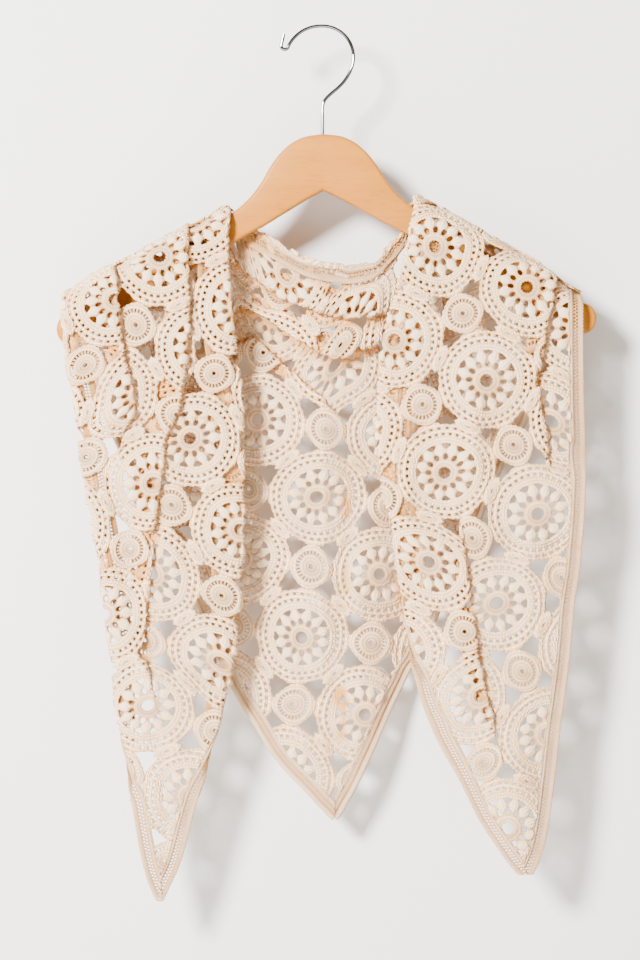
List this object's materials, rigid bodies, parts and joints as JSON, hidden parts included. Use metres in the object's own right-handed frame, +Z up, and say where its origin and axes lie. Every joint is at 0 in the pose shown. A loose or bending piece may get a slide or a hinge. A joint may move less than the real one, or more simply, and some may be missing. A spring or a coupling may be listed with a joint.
{
  "type": "crochet shawl on a wooden hanger",
  "caption": "Triangular crochet lace shawl draped over a wooden hanger: a tail over each arm, a swagged back between them, and a wire hook.",
  "frame": {"origin": "inner crown of the wire hook, where a rod or wall hook carries the hanger", "axes": "+Z up, +X to the viewer's right along the hanger's arms, -Y towards the viewer, the shawl's tails in front"},
  "size_m": [0.4447, 0.068, 0.7218],
  "materials": {
    "lace": "matt cotton yarn, crocheted in rosettes",
    "edging": "matt cotton yarn, crocheted in a dense narrow band",
    "wood": "satin lacquer on pale wood",
    "wire": "polished plating"
  },
  "bodies": {
    "root": {"shawl_front_left": "lace", "shawl_front_right": "lace", "shawl_back": "lace", "trim_neck_left": "edging", "trim_neck_right": "edging", "trim_neck_back": "edging", "trim_side_left": "edging", "trim_side_right": "edging", "trim_hem_left": "edging", "trim_hem_right": "edging", "hanger_arm_left": "wood", "hanger_arm_right": "wood", "hanger_hook": "wire"}
  },
  "joints": []
}
